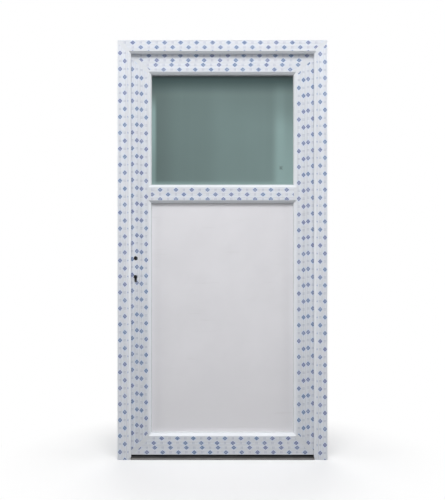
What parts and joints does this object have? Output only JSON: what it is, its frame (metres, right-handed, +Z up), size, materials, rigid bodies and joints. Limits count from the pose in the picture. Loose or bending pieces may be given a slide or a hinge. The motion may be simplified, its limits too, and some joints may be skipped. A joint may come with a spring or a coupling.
{
  "type": "pvc door",
  "caption": "Single white PVC entrance door with a mitred hollow-profile frame, low threshold and inward-opening leaf, frosted glass over a plain panel",
  "frame": {"origin": "centre of the threshold's underside, on the floor, at mid depth of the frame", "axes": "+X from the lock jamb to the hinge jamb, +Y from outside to inside, +Z up"},
  "size_m": [1, 0.109, 2],
  "materials": {
    "pvc_profile": "white uPVC profile, satin gloss, flat faces under a printed protective film",
    "pvc_bead": "white uPVC, satin gloss",
    "panel": "white PVC-skinned sandwich panel, matt",
    "glass": "grey-green frosted glass",
    "spacer": "aluminium spacer bar with grey sealant",
    "seal": "grey rubber seal",
    "brush": "black pile brush",
    "tread": "black ribbed plastic",
    "threshold_aluminium": "mill-finish aluminium",
    "galvanised_steel": "galvanised sheet steel",
    "lock_steel": "zinc-plated steel",
    "hinge": "white powder coat"
  },
  "bodies": {
    "frame": {"frame_head": "pvc_profile", "frame_lock_jamb": "pvc_profile", "frame_hinge_jamb": "pvc_profile", "frame_seal": "seal", "jamb_reinforcement": "galvanised_steel", "threshold_rail": "threshold_aluminium", "threshold_tread": "tread", "strike_plate": "lock_steel", "upper_hinge_frame_part": "hinge", "middle_hinge_frame_part": "hinge", "lower_hinge_frame_part": "hinge"},
    "leaf": {"leaf_top_rail": "pvc_profile", "leaf_bottom_rail": "pvc_profile", "leaf_lock_stile": "pvc_profile", "leaf_hinge_stile": "pvc_profile", "leaf_mid_rail": "pvc_profile", "leaf_seal": "seal", "bottom_brush": "brush", "glass_outer_pane": "glass", "glass_spacer": "spacer", "glass_inner_pane": "glass", "lower_panel": "panel", "upper_outer_seal": "seal", "upper_inner_seal": "seal", "lower_outer_seal": "seal", "lower_inner_seal": "seal", "upper_bead_top": "pvc_bead", "upper_bead_bottom": "pvc_bead", "upper_bead_left": "pvc_bead", "upper_bead_right": "pvc_bead", "lower_bead_top": "pvc_bead", "lower_bead_bottom": "pvc_bead", "lower_bead_left": "pvc_bead", "lower_bead_right": "pvc_bead", "lock_case": "lock_steel", "lock_faceplate": "lock_steel", "latch_bolt": "lock_steel", "dead_bolt": "lock_steel", "upper_hinge_leaf_part": "hinge", "middle_hinge_leaf_part": "hinge", "lower_hinge_leaf_part": "hinge"}
  },
  "joints": [
    {"name": "leaf_hinge", "type": "hinge", "parent": "frame", "child": "leaf", "pos_m": [0.48, 0.065, 1], "axis": [0, 0, -1], "range_deg": [0, 110]}
  ]
}
